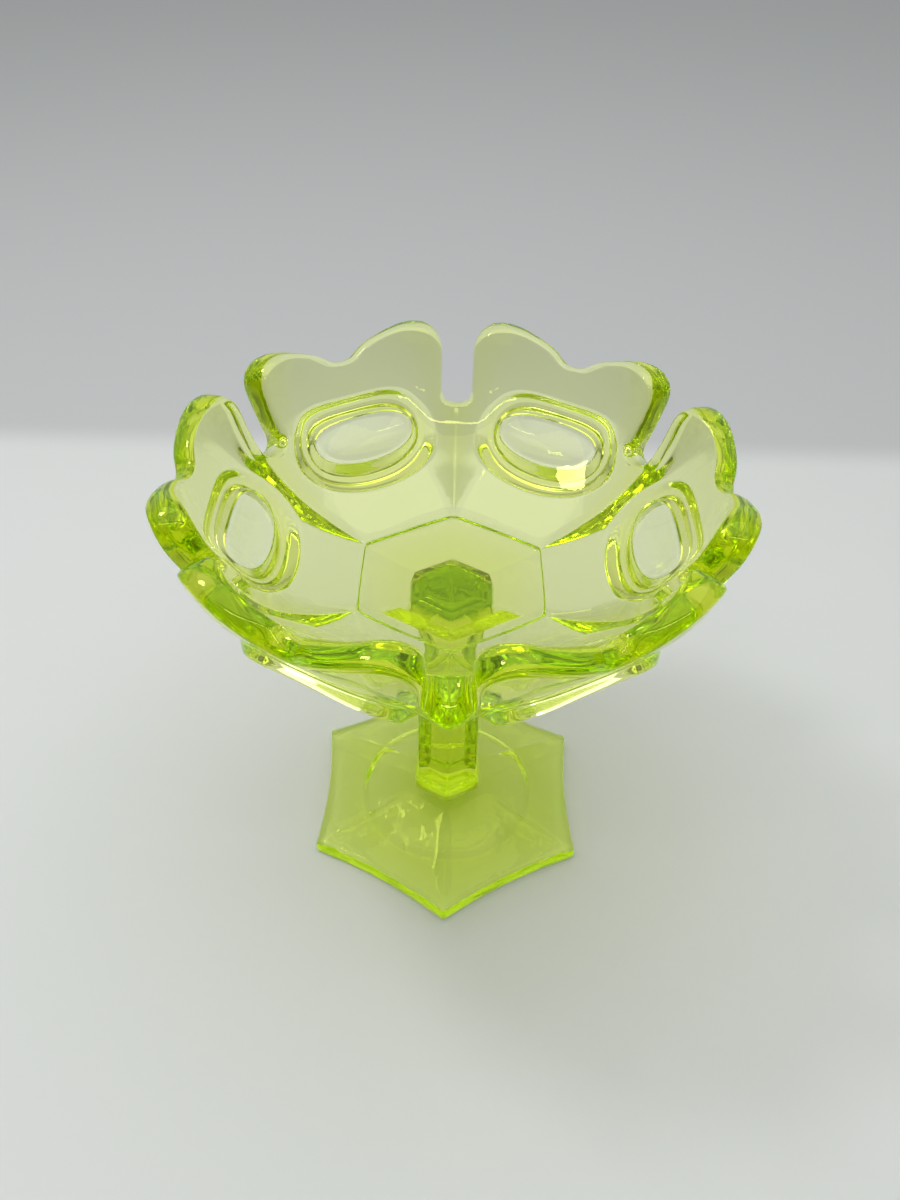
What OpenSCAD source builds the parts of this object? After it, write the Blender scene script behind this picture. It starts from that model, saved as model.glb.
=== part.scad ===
// Pressed glass comport: a six-sided bowl with a lobed, notched rim and a raised
// oval lens on each panel, carried by a six-sided stem on a spreading foot.
// Three pieces of glass that are joined while hot. +Z is up and the origin is the
// middle of the surface that the foot stands on. Millimetres.

/* [Foot] */
// Foot, corner to corner
foot_across = 104; // [80:1:130]
// How far each side of the foot curves in
foot_side_sag = 2.2; // [0:0.1:4]
// Height of the upright edge of the foot
foot_edge_h = 3.2; // [2:0.1:6]
// Height at which the sloping top of the foot begins
foot_slope_z = 5.6; // [4.5:0.1:8]
// How far the rounded edge reaches in from the side
foot_edge_run = 4; // [2:0.1:7]
// Height of the flat that the stem stands on
foot_seat_z = 12; // [9:0.5:18]
// Flat under the stem, corner to corner
foot_seat_across = 33; // [30.5:0.5:44]
// Radius of the round hollow under the foot
hollow_r = 30; // [15:1:34]
// Depth of the hollow under the foot
hollow_depth = 4.5; // [1:0.5:6]

/* [Stem] */
// Stem shaft, corner to corner
stem_across = 24; // [16:0.5:26]
// Length of the stem with its two collars
stem_len = 83; // [50:0.1:120]
// Lower collar, corner to corner
foot_collar_across = 26.6; // [26.2:0.1:30]
// Height of the lower collar
foot_collar_h = 5; // [2:0.5:10]
// Upper collar, corner to corner
bowl_collar_across = 29; // [27:0.5:30]
// Height of the upper collar
bowl_collar_h = 4; // [2:0.5:10]
// Height of the slope between each collar and the shaft
collar_slope_h = 1.5; // [0.5:0.5:3]

/* [Bowl] */
// Flat floor inside the bowl, across its flats
floor_across = 53.8; // [40:0.2:70]
// Thickness of the glass in the middle of the floor
floor_thick = 13; // [10.5:0.1:16]
// Height of the edge that drops from the walls to the sloping underside
plinth_h = 2; // [0.4:0.1:2.4]
// Thickness of the walls
wall = 7.2; // [5:0.1:9]
// How far the middle of a panel reaches out from the floor
panel_reach = 45.5; // [35:0.5:60]
// Height of the middle of a panel above the floor
panel_rise = 33; // [20:0.5:45]
// How far a corner of the bowl reaches out, square to the panels beside it
corner_reach = 37.3; // [30:0.1:50]
// Height that a corner would have if it were not notched
corner_rise = 40; // [25:0.5:50]
// Height above the floor at which the inside of the wall has become round
round_in_h = 30; // [12:0.5:40]
// Height above the floor at which the outside of the wall has become round
round_out_h = 46; // [30:0.5:60]
// How deep the inside of each corner is filled, at the bottom of the notch
corner_fill = 2; // [0:0.1:4]
// How far the rib outside each corner stands out
rib_out = 3.8; // [0:0.1:5]
// Half the width of the rib where it is full size
rib_half = 9; // [4:0.5:13]

/* [Rim] */
// Height of the bottom of each notch above the floor
notch_h = 19; // [12:0.5:24]
// Half the width of a notch, at the inside of the glass
notch_half = 5; // [3:0.2:9]
// Height of the rounded bottom of a notch
notch_round_h = 4.5; // [2:0.5:8]
// How far the lobes rise above the middle of the rim
lobe_rise = 2.4; // [1:0.1:5]
// How far the top of each lobe is from the middle of its panel
lobe_offset = 12; // [8:0.5:24]
// How far the rounded lip of the rim stands proud of the wall
lip = 1.6; // [1:0.1:3.5]

/* [Lens] */
// Height of the middle of each lens above the floor
lens_mid_h = 14; // [12:0.5:17]
// Width of the raised oval ring
lens_w = 47.5; // [30:0.5:56]
// Height of the raised oval ring, along the wall
lens_h = 30; // [20:0.5:34]
// How far the ring stands out from the wall
ring_out = 5; // [2:0.5:8]
// How much steeper than the wall the face of the ring is, in degrees
ring_lean = 9; // [0:1:14]
// Width of the flat top of the ring
ring_flat = 2; // [0.8:0.2:4]
// Width of the slope on the outside of the ring
ring_slope_out = 2.8; // [0.6:0.2:4]
// Width of the slope on the inside of the ring
ring_slope_in = 2.8; // [1:0.2:5]
// Thickness of the glass at the edge of the clear oval
lens_thin = 4; // [2.5:0.5:6]
// How much thicker the middle of the clear oval is
lens_crown = 1.2; // [0:0.1:2.5]

/* [Hidden] */
SIDES = 6;
turn = 360 / SIDES;
half_turn = turn / 2;
flat_share = cos(half_turn);   // apothem of a hexagon of radius 1
side_share = tan(half_turn);   // half a side of a hexagon of apothem 1
glass = [0.70, 0.93, 0.12, 0.75];

stem_foot_z = foot_seat_z;
stem_top_z = stem_foot_z + stem_len;
floor_z = stem_top_z + floor_thick;
floor_in = floor_across / 2;

// Segments round one panel of the bowl
ARRIS_SEG = 5;
NOTCH_SEG = 3;
SIDE_SEG = 2;
SHOULDER_SEG = 4;
SADDLE_SEG = 5;
FLOOR_SEG = 6;
HALF_RIM_SEG = NOTCH_SEG + SIDE_SEG + SHOULDER_SEG + SADDLE_SEG;
RIM_SEG = 2 * HALF_RIM_SEG;
LIP_SEG = 4;
LOOP = 2 * ARRIS_SEG + RIM_SEG + FLOOR_SEG;
INNER_RINGS = [0.25, 0.5, 0.75, 1];
FIELD_RINGS = [0.25, 0.5, 0.75, 1];

// ---- curves -----------------------------------------------------------------

function bezier2(a, b, c, t) = (1 - t) * (1 - t) * a + 2 * t * (1 - t) * b + t * t * c;
function bezier2_way(a, b, c, t) = 2 * (1 - t) * (b - a) + 2 * t * (c - b);
function bezier3(a, b, c, d, t) =
    pow(1 - t, 3) * a + 3 * t * pow(1 - t, 2) * b + 3 * t * t * (1 - t) * c + pow(t, 3) * d;
function bezier3_way(a, b, c, d, t) =
    3 * (1 - t) * (1 - t) * (b - a) + 6 * t * (1 - t) * (c - b) + 3 * t * t * (d - c);
function unit(v) = v / norm(v);
function outside_of(way) = unit([way[1], -way[0]]);

// Profile up the middle of a panel, as [distance out, height] from the axis and floor.
// It leaves the floor almost level and flares out to the rim. Where a curve bends is
// given as shares of its own reach and rise, so its character stays when they change.
MID_START = [floor_in, 0];
MID_BEND = [floor_in + 0.62 * panel_reach, 0.17 * panel_rise];
MID_END = [floor_in + panel_reach, panel_rise];
function mid_at(t) = bezier2(MID_START, MID_BEND, MID_END, t);
function mid_way(t) = bezier2_way(MID_START, MID_BEND, MID_END, t);

// Profile of a corner, measured square to the panels beside it. It ends upright.
CORNER_START = [floor_in, 0];
CORNER_LOW = [floor_in + 0.36 * corner_reach, 0.06 * corner_rise];
CORNER_HIGH = [floor_in + 0.9 * corner_reach, 0.41 * corner_rise];
CORNER_END = [floor_in + corner_reach, corner_rise];
function corner_at(t) = bezier3(CORNER_START, CORNER_LOW, CORNER_HIGH, CORNER_END, t);
function corner_way(t) = bezier3_way(CORNER_START, CORNER_LOW, CORNER_HIGH, CORNER_END, t);

// The t at which a profile, which only climbs, reaches a height
function level_at(profile, height, low = 0, high = 1.5, tries = 30) = let(
        mid = (low + high) / 2)
    tries == 0 ? mid :
    profile(mid)[1] < height ? level_at(profile, height, mid, high, tries - 1) :
    level_at(profile, height, low, mid, tries - 1);
function mid_level(height) = level_at(function(t) mid_at(t), height);
function corner_level(height) = level_at(function(t) corner_at(t), height);
round_in_level = corner_level(round_in_h);
round_out_level = corner_level(round_out_h);
notch_level = corner_level(notch_h);
notch_top = corner_level(notch_h + notch_round_h);
lobe_level = mid_level(panel_rise + lobe_rise);
lens_level = mid_level(lens_mid_h);

// How much of the corner profile rules at q, from 0 mid-panel to 1 at the corner
function corner_share(q) = 1 - pow(1 - min(1, q * q), 3);
// How round the wall is at t, from 0, a straight-sided hexagon, to 1, a circle
function roundness(t, depth) = let(
        level = round_in_level + (round_out_level - round_in_level) * depth / wall,
        s = min(1, t / level))
    s * s * (3 - 2 * s);
// How deep the inside of a corner is filled at t
function fill_at(t) = corner_fill * min(1.1, t / notch_level);

// Share of its full size that the rib outside a corner has at t: it grows from nothing
// at the floor and fades out past the bottom of the notch
function rib_size(t) = max(0.02, min(1, t / (0.55 * notch_level)));
function rib_fade(t) = max(0, min(1, (1.3 * notch_level - t) / (0.3 * notch_level)));
function rib_at(q, t, depth) = depth / wall * rib_out * rib_size(t) * rib_fade(t)
    * max(0, 1 - (1 - abs(q)) * half_side(t) / (rib_half * rib_size(t)));

// Point on a panel that faces +X. q runs across it from -1 to 1, t up it from 0
// to about 1, depth is the glass between it and the inner face, and proud is how
// far it stands out beyond that.
function wall_point(q, t, depth = 0, proud = 0) = let(
        mid = mid_at(t) + depth * outside_of(mid_way(t)),
        corner = corner_at(t) + depth * outside_of(corner_way(t)),
        y = q * corner[0] * side_share,
        bulge = roundness(t, depth) * (sqrt(pow(corner[0] / flat_share, 2) - y * y) - corner[0]),
        share = corner_share(q),
        place = (1 - share) * mid + share * (corner + [bulge, 0]) + proud * outside_of(mid_way(t)),
        to_corner = place[0] * flat_share + abs(y) / 2,
        pull = depth > 0 ? 0 : max(0, to_corner - corner_at(t)[0] / flat_share + fill_at(t)),
        rib = rib_at(q, t, depth) * outside_of(corner_way(t)),
        along = rib[0] - pull)
    [place[0] + along * flat_share, y + along / 2 * sign(y), floor_z + place[1] + rib[1]];

// ---- outline of a panel, as [q, t] --------------------------------------------

function half_side(t) = corner_at(t)[0] * side_share;
function notch_q(t) = 1 - notch_half / flat_share / half_side(t);
side_top = 0.92; // the t at which the straight side of a notch ends

// From the bottom of the notch at q = 1 round to the middle of the rim at q = 0
function notch_point(s) = bezier2([1, notch_level], [notch_q(notch_top), notch_level],
    [notch_q(notch_top), notch_top], s);
function side_point(s) = let(t = notch_top + s * (side_top - notch_top)) [notch_q(t), t];
SIDE_END = [notch_q(side_top), side_top];
lobe_q = lobe_offset / half_side(lobe_level);
LOBE_TOP = [lobe_q, lobe_level];
function shoulder_point(s) = bezier3(SIDE_END, SIDE_END + [0, 0.86 * (lobe_level - side_top)],
    LOBE_TOP + [0.56 * (SIDE_END[0] - lobe_q), 0], LOBE_TOP, s);
function saddle_point(s) = bezier3(LOBE_TOP, [0.42 * lobe_q, lobe_level], [0.57 * lobe_q, 1], [0, 1], s);
HALF_RIM = concat(
    [for (i = [0 : NOTCH_SEG - 1]) notch_point(i / NOTCH_SEG)],
    [for (i = [0 : SIDE_SEG - 1]) side_point(i / SIDE_SEG)],
    [for (i = [0 : SHOULDER_SEG - 1]) shoulder_point(i / SHOULDER_SEG)],
    [for (i = [0 : SADDLE_SEG]) saddle_point(i / SADDLE_SEG)]);

// The whole outline: up the arris at q = 1, over the rim, down the arris at q = -1
// and back along the edge of the floor
OUTLINE = concat(
    [for (i = [0 : ARRIS_SEG - 1]) [1, notch_level * i / ARRIS_SEG]],
    [for (i = [0 : HALF_RIM_SEG]) HALF_RIM[i]],
    [for (i = [HALF_RIM_SEG - 1 : -1 : 0]) [-HALF_RIM[i][0], HALF_RIM[i][1]]],
    [for (i = [ARRIS_SEG - 1 : -1 : 0]) [-1, notch_level * i / ARRIS_SEG]],
    [for (i = [1 : FLOOR_SEG - 1]) [-1 + 2 * i / FLOOR_SEG, 0]]);
RIM_FIRST = ARRIS_SEG;
RIM_LAST = ARRIS_SEG + RIM_SEG;
LEFT_FLOOR = RIM_LAST + ARRIS_SEG;

// ---- rings round the lens ------------------------------------------------------

// Millimetres along the wall for one unit of t at the lens
wall_scale = norm(mid_way(lens_level));
function flat_of(qt) = [qt[0] * half_side(qt[1]), (qt[1] - lens_level) * wall_scale];
function panel_of(flat) = let(t = lens_level + flat[1] / wall_scale) [flat[0] / half_side(t), t];
function oval_reach(way, inset) = 1 / norm([way[0] / (lens_w / 2 - inset), way[1] / (lens_h / 2 - inset)]);
function on_oval(i, inset, share = 1) = let(way = unit(flat_of(OUTLINE[i])))
    panel_of(share * oval_reach(way, inset) * way);
function to_outline(i, share) = let(
        edge = flat_of(OUTLINE[i]), start = oval_reach(unit(edge), 0) * unit(edge))
    share == 1 ? OUTLINE[i] : panel_of(start + share * (edge - start));
function inner_to_outline(i, share) = share == 1 ? OUTLINE[i] : panel_of(share * flat_of(OUTLINE[i]));

thin_proud = lens_thin - wall;
ring_in = ring_slope_out + ring_flat;
// Inset from the outer oval, share of that oval, and how proud the glass stands
LENS_RINGS = [
    [ring_in + ring_slope_in, 0.5, thin_proud + 0.75 * lens_crown],
    [ring_in + ring_slope_in, 1, thin_proud],
    [ring_in, 1, ring_out],
    [ring_slope_out, 1, ring_out],
    [0, 1, 0]];

function inner_loop(r) = [for (i = [0 : LOOP - 1]) let(p = inner_to_outline(i, INNER_RINGS[r]))
    wall_point(p[0], p[1])];
// The face of the ring leans, so its floor side stands out furthest
function lean(t) = tan(ring_lean) * (lens_level - t) * wall_scale;
function lens_loop(r) = [for (i = [0 : LOOP - 1]) let(
        ring = LENS_RINGS[r], p = on_oval(i, ring[0], ring[1]))
    wall_point(p[0], p[1], wall, ring[2] == ring_out ? ring_out + lean(p[1]) : ring[2])];
function field_loop(r) = [for (i = [0 : LOOP - 1]) let(p = to_outline(i, FIELD_RINGS[r]))
    wall_point(p[0], p[1], wall)];

// The lip is half an oval from the inner edge of the rim to the outer one
function rim_mid(i) = let(p = OUTLINE[i]) (wall_point(p[0], p[1]) + wall_point(p[0], p[1], wall)) / 2;
function rim_half(i) = let(p = OUTLINE[i]) (wall_point(p[0], p[1], wall) - wall_point(p[0], p[1])) / 2;
function mirrored_y(p) = [p[0], -p[1], p[2]];
function across_arris(p) = let(c = cos(turn), s = sin(turn)) [c * p[0] + s * p[1], s * p[0] - c * p[1], p[2]];
function rim_way(i) = let(
        next = i == RIM_LAST ? mirrored_y(across_arris(mirrored_y(rim_mid(i - 1)))) : rim_mid(i + 1),
        last = i == RIM_FIRST ? across_arris(rim_mid(i + 1)) : rim_mid(i - 1))
    unit(next - last);
function lip_point(i, s) = let(
        h = rim_half(i), out = unit(cross(rim_way(i), h)), a = 180 * s)
    rim_mid(i) - cos(a) * h + lip * sin(a) * out;
function lip_loop(j) = [for (i = [RIM_FIRST : RIM_LAST]) lip_point(i, j / LIP_SEG)];

// ---- one panel's points and their numbers --------------------------------------

INNER_COUNT = len(INNER_RINGS);
LENS_COUNT = len(LENS_RINGS);
FIELD_COUNT = len(FIELD_RINGS);
OUTER_COUNT = LENS_COUNT + FIELD_COUNT;
OUTER_START = 1 + INNER_COUNT * LOOP;
LIP_START = OUTER_START + 1 + OUTER_COUNT * LOOP;
RIM_POINTS = RIM_SEG + 1;
PANEL_POINTS = LIP_START + (LIP_SEG - 1) * RIM_POINTS;

PANEL = concat(
    [wall_point(0, lens_level)],
    [for (r = [0 : INNER_COUNT - 1]) each inner_loop(r)],
    [wall_point(0, lens_level, wall, thin_proud + lens_crown)],
    [for (r = [0 : LENS_COUNT - 1]) each lens_loop(r)],
    [for (r = [0 : FIELD_COUNT - 1]) each field_loop(r)],
    [for (j = [1 : LIP_SEG - 1]) each lip_loop(j)]);

// Points on the arris at q = -1 belong to the panel before, whose q = 1 arris it is
function prior(k) = (k + SIDES - 1) % SIDES;
function loop_number(k, start, ring, last_ring, i) = let(n = i % LOOP)
    ring == last_ring && n >= RIM_LAST && n <= LEFT_FLOOR
        ? prior(k) * PANEL_POINTS + start + 1 + ring * LOOP + (LEFT_FLOOR - n)
        : k * PANEL_POINTS + start + 1 + ring * LOOP + n;
function inner_number(k, ring, i) = loop_number(k, 0, ring, INNER_COUNT - 1, i);
function outer_number(k, ring, i) = loop_number(k, OUTER_START, ring, OUTER_COUNT - 1, i);
function lip_number(k, j, i) =
    j == 0 ? inner_number(k, INNER_COUNT - 1, i) :
    j == LIP_SEG ? outer_number(k, OUTER_COUNT - 1, i) :
    i == RIM_LAST ? prior(k) * PANEL_POINTS + LIP_START + (j - 1) * RIM_POINTS :
    k * PANEL_POINTS + LIP_START + (j - 1) * RIM_POINTS + i - RIM_FIRST;

function two(a, b, c, d) = [[a, b, c], [a, c, d]];
function panel_faces(k) = concat(
    [for (i = [0 : LOOP - 1]) [k * PANEL_POINTS, inner_number(k, 0, i), inner_number(k, 0, i + 1)]],
    [for (r = [0 : INNER_COUNT - 2], i = [0 : LOOP - 1]) each two(
        inner_number(k, r, i + 1), inner_number(k, r, i),
        inner_number(k, r + 1, i), inner_number(k, r + 1, i + 1))],
    [for (i = [0 : LOOP - 1])
        [k * PANEL_POINTS + OUTER_START, outer_number(k, 0, i + 1), outer_number(k, 0, i)]],
    [for (r = [0 : OUTER_COUNT - 2], i = [0 : LOOP - 1]) each two(
        outer_number(k, r, i), outer_number(k, r, i + 1),
        outer_number(k, r + 1, i + 1), outer_number(k, r + 1, i))],
    [for (j = [0 : LIP_SEG - 1], i = [RIM_FIRST : RIM_LAST - 1]) each two(
        lip_number(k, j, i + 1), lip_number(k, j, i),
        lip_number(k, j + 1, i), lip_number(k, j + 1, i + 1))]);

// ---- the bowl --------------------------------------------------------------------

function turned(p, a) = [cos(a) * p[0] - sin(a) * p[1], sin(a) * p[0] + cos(a) * p[1], p[2]];
function hexagon(r, z) = [for (k = [0 : SIDES - 1])
    [r * cos(k * turn - half_turn), r * sin(k * turn - half_turn), z]];
FLOOR_MIDDLE = SIDES * PANEL_POINTS;
PLINTH_START = FLOOR_MIDDLE + 1;
PLINTH_COUNT = SIDES * FLOOR_SEG;
SEAT_START = PLINTH_START + PLINTH_COUNT;
SEAT_MIDDLE = SEAT_START + SIDES;
// Edge of the floor of panel k, from its q = -1 corner to its q = 1 corner
function floor_number(i) = LEFT_FLOOR + i;
FLOOR_FACES = [for (k = [0 : SIDES - 1], i = [0 : FLOOR_SEG - 1]) [
    FLOOR_MIDDLE, inner_number(k, INNER_COUNT - 1, floor_number(i + 1)),
    inner_number(k, INNER_COUNT - 1, floor_number(i))]];
// The low edge under the floor, and the underside that slopes from it to the seat
PLINTH = [for (k = [0 : SIDES - 1], i = [0 : FLOOR_SEG - 1])
    turned(wall_point(-1 + 2 * i / FLOOR_SEG, 0, wall) - [0, 0, plinth_h], k * turn)];
function plinth_number(k, i) = PLINTH_START + (k * FLOOR_SEG + i) % PLINTH_COUNT;
PLINTH_FACES = [for (k = [0 : SIDES - 1], i = [0 : FLOOR_SEG - 1]) each two(
    plinth_number(k, i), outer_number(k, OUTER_COUNT - 1, floor_number(i)),
    outer_number(k, OUTER_COUNT - 1, floor_number(i + 1)), plinth_number(k, i + 1))];
SEAT_EDGE_FACES = [for (k = [0 : SIDES - 1], i = [0 : FLOOR_SEG - 1]) let(
        corner = SEAT_START + (i < FLOOR_SEG / 2 ? k : (k + 1) % SIDES)) [
    corner, plinth_number(k, i), plinth_number(k, i + 1)]];
SEAT_SIDE_FACES = [for (k = [0 : SIDES - 1]) [
    SEAT_START + k, plinth_number(k, FLOOR_SEG / 2), SEAT_START + (k + 1) % SIDES]];
SEAT_FACES = [for (k = [0 : SIDES - 1]) [
    SEAT_MIDDLE, SEAT_START + k, SEAT_START + (k + 1) % SIDES]];

module bowl() {
    color(glass)
    polyhedron(
        points = concat(
            [for (k = [0 : SIDES - 1]) each [for (p = PANEL) turned(p, k * turn)]],
            [[0, 0, floor_z]],
            PLINTH,
            hexagon(bowl_collar_across / 2, stem_top_z),
            [[0, 0, stem_top_z]]),
        faces = concat(
            [for (k = [0 : SIDES - 1]) each panel_faces(k)],
            FLOOR_FACES, PLINTH_FACES, SEAT_EDGE_FACES, SEAT_SIDE_FACES, SEAT_FACES),
        convexity = 8);
}

// ---- the stem --------------------------------------------------------------------

// A closed solid through a stack of loops that have the same number of points
module stack(loops) {
    n = len(loops[0]);
    last = len(loops) - 1;
    middle = n * len(loops);
    polyhedron(
        points = concat(
            [for (loop = loops) each loop],
            [[0, 0, loops[0][0][2]], [0, 0, loops[last][0][2]]]),
        faces = concat(
            [for (i = [0 : n - 1]) [middle, i, (i + 1) % n]],
            [for (k = [0 : last - 1], i = [0 : n - 1]) each two(
                k * n + (i + 1) % n, k * n + i, (k + 1) * n + i, (k + 1) * n + (i + 1) % n)],
            [for (i = [0 : n - 1]) [middle + 1, last * n + (i + 1) % n, last * n + i]]),
        convexity = 4);
}

module stem() {
    color(glass)
    stack([
        hexagon(foot_collar_across / 2, stem_foot_z),
        hexagon(foot_collar_across / 2, stem_foot_z + foot_collar_h),
        hexagon(stem_across / 2, stem_foot_z + foot_collar_h + collar_slope_h),
        hexagon(stem_across / 2, stem_top_z - bowl_collar_h - collar_slope_h),
        hexagon(bowl_collar_across / 2, stem_top_z - bowl_collar_h),
        hexagon(bowl_collar_across / 2, stem_top_z)]);
}

// ---- the foot --------------------------------------------------------------------

foot_in = foot_across / 2 * flat_share;
// Places along a side of the foot, from corner to corner; the corners are rounded off
SIDE_PLACES = [-0.965, -0.88, -0.6, -0.3, 0, 0.3, 0.6, 0.88, 0.965];
// Distance of each level of the foot in from the side, its height, and its share of the sag
FOOT_LEVELS = [
    [0.7, 0, 1],
    [0, 0.7, 1],
    [0, foot_edge_h, 1],
    [0.28 * foot_edge_run, foot_edge_h + 0.62 * (foot_slope_z - foot_edge_h), 1],
    [foot_edge_run, foot_slope_z, 1],
    [0.5 * (foot_in - foot_seat_across / 2 * flat_share), 0.53 * foot_slope_z + 0.47 * foot_seat_z, 0.5],
    [foot_in - foot_seat_across / 2 * flat_share, foot_seat_z, 0]];
function foot_loop(level) = [for (k = [0 : SIDES - 1], place = SIDE_PLACES) let(
        reach = foot_in - level[0],
        out = reach - level[2] * foot_side_sag * (1 - place * place))
    turned([out, place * reach * side_share, level[1]], k * turn)];

module foot_body() {
    stack([for (level = FOOT_LEVELS) foot_loop(level)]);
}

// The hollow that the press leaves under the foot, in three slopes
module foot_hollow() {
    rotate_extrude($fn = 96)
        polygon([[0, -1], [hollow_r, -1], [hollow_r, 0], [hollow_r - 1.5, 0.3 * hollow_depth],
            [0.6 * hollow_r, 0.8 * hollow_depth], [0.25 * hollow_r, hollow_depth], [0, hollow_depth]]);
}

module foot() {
    color(glass)
    difference() {
        foot_body();
        foot_hollow();
    }
}

bowl();
stem();
foot();
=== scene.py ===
# %% [markdown]
# # A pressed-glass comport in uranium glass
# The dish is three pieces of clear yellow-green glass that were joined while hot: a
# flaring bowl of six panels, a six-sided stem and a spreading foot. Glass shows every
# surface at once, the near one and the far one, so this lesson spends its care on two
# things: skins that are smooth, closed and round-edged, and a glass that is pale where it
# is thin and saturated where light travels far in it.
#
# The CAD model comes first, as a fixed frame. Its boxes tell where each piece starts and
# ends, and its overall box is kept to compare with the finished model.

import math

import bmesh
import bpy
import numpy as np
from mathutils import Matrix, Vector


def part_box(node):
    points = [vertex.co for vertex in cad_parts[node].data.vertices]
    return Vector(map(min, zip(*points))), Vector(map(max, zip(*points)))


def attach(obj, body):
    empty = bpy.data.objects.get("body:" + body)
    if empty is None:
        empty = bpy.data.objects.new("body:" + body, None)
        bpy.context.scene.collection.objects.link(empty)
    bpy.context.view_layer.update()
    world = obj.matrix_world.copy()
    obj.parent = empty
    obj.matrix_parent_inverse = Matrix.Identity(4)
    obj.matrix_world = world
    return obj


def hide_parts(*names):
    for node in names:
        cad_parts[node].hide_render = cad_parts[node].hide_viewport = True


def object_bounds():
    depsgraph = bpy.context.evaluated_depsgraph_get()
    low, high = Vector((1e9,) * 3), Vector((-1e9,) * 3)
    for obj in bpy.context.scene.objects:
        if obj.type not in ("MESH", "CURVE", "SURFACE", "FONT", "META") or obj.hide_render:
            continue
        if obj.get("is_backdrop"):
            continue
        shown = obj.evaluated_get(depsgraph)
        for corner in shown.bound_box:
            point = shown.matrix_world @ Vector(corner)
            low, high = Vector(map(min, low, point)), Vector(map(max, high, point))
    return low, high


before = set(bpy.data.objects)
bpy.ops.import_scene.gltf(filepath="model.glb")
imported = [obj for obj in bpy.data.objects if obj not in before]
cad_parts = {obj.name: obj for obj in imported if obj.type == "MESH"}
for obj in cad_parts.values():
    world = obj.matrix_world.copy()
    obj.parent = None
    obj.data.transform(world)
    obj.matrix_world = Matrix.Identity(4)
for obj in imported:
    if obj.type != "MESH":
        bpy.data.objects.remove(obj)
cad_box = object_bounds()

MM = 0.001
bowl_low, bowl_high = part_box("bowl")
stem_low, stem_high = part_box("stem")
foot_low, foot_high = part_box("foot")
print(f"frame: {len(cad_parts)} nodes, {(cad_box[1].z - cad_box[0].z) / MM:.1f} mm tall")

# %% [markdown]
# ## Sizes
# Everything repeats six times round the axis, so a size is given for one panel that faces
# +X. Heights that the frame knows are read from it. The plinth is the low edge that drops
# from the walls to the sloping underside.

# %% Name the sizes
SIDES = 6
TURN = 2 * math.pi / SIDES
FLAT_SHARE = math.cos(TURN / 2)   # apothem of a hexagon of radius 1
SIDE_SHARE = math.tan(TURN / 2)   # half a side of a hexagon of apothem 1

FLOOR_THICK, PLINTH_H, PLINTH_DRAFT = 13 * MM, 2.0 * MM, 0.3 * MM
SEAT_Z = stem_high.z
FLOOR_Z = SEAT_Z + FLOOR_THICK
FLOOR_IN = 26.9 * MM
WALL = 7.2 * MM
PANEL_REACH, PANEL_RISE = 45.5 * MM, 33 * MM
CORNER_REACH, CORNER_RISE = 37.3 * MM, 40 * MM
INNER_ROUND_H, OUTER_ROUND_H = 30 * MM, 46 * MM
NOTCH_H, NOTCH_HALF, NOTCH_ROUND_H = 19 * MM, 5 * MM, 4.5 * MM
LOBE_RISE, LOBE_OFFSET = 2.4 * MM, 12 * MM
LIP = 1.6 * MM

LENS_MID_H = 14 * MM
LENS_W, LENS_H = 47.5 * MM, 30 * MM
RING_OUT, RING_LEAN = 5 * MM, math.radians(9)
RING_DRAFT, RING_FLAT, RING_SLOPE_IN = math.radians(30), 2.0 * MM, 2.8 * MM
RING_SOFT = 0.7 * MM
LENS_THIN, LENS_CROWN = 4 * MM, 1.2 * MM

STEM_R = 12 * MM
FOOT_COLLAR_R, FOOT_COLLAR_H = 13 * MM, 5 * MM
BOWL_COLLAR_R, BOWL_COLLAR_H = 14.5 * MM, 4 * MM
COLLAR_SLOPE_H = 1.5 * MM
JOIN_DEPTH = 0.4 * MM             # how far the stem sinks into the bowl and the foot

FOOT_R, FOOT_SAG = 52.4 * MM, 2.2 * MM
FOOT_EDGE_H, FOOT_SLOPE_Z, FOOT_EDGE_RUN = 3.2 * MM, 5.6 * MM, 4 * MM
FOOT_SEAT_R = 16.5 * MM
HOLLOW_R, HOLLOW_DEPTH = 30 * MM, 4.5 * MM
print(f"floor of the bowl at {FLOOR_Z / MM:.1f} mm, seat at {SEAT_Z / MM:.1f} mm")

# %% [markdown]
# ## Curves
# A panel is ruled by two profiles, one up its middle and one up its corner. Both are
# Bezier curves. De Casteljau's rule gives a curve of any degree by taking means of means,
# and its last step but one also gives the way the curve heads, which the wall's thickness
# is measured square to.


# %% Bezier curves
def bezier(points, t):
    """The place at t on the curve that the points pull, and the way it heads there."""
    t = np.asarray(t, float)[..., None]
    layer = [np.asarray(p, float) for p in points]
    while len(layer) > 2:
        layer = [a + (b - a) * t for a, b in zip(layer, layer[1:])]
    return layer[0] + (layer[1] - layer[0]) * t, (layer[1] - layer[0]) * (len(points) - 1)


def outside_of(way):
    """The unit vector square to the way, on the outside of the bowl."""
    square = np.stack([way[..., 1], -way[..., 0]], -1)
    return square / np.linalg.norm(square, axis=-1, keepdims=True)


def level_at(curve, height):
    """The t at which a curve that only climbs reaches a height."""
    t = np.linspace(0, 1.5, 3001)
    return float(np.interp(height, bezier(curve, t)[0][:, 1], t))


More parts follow.
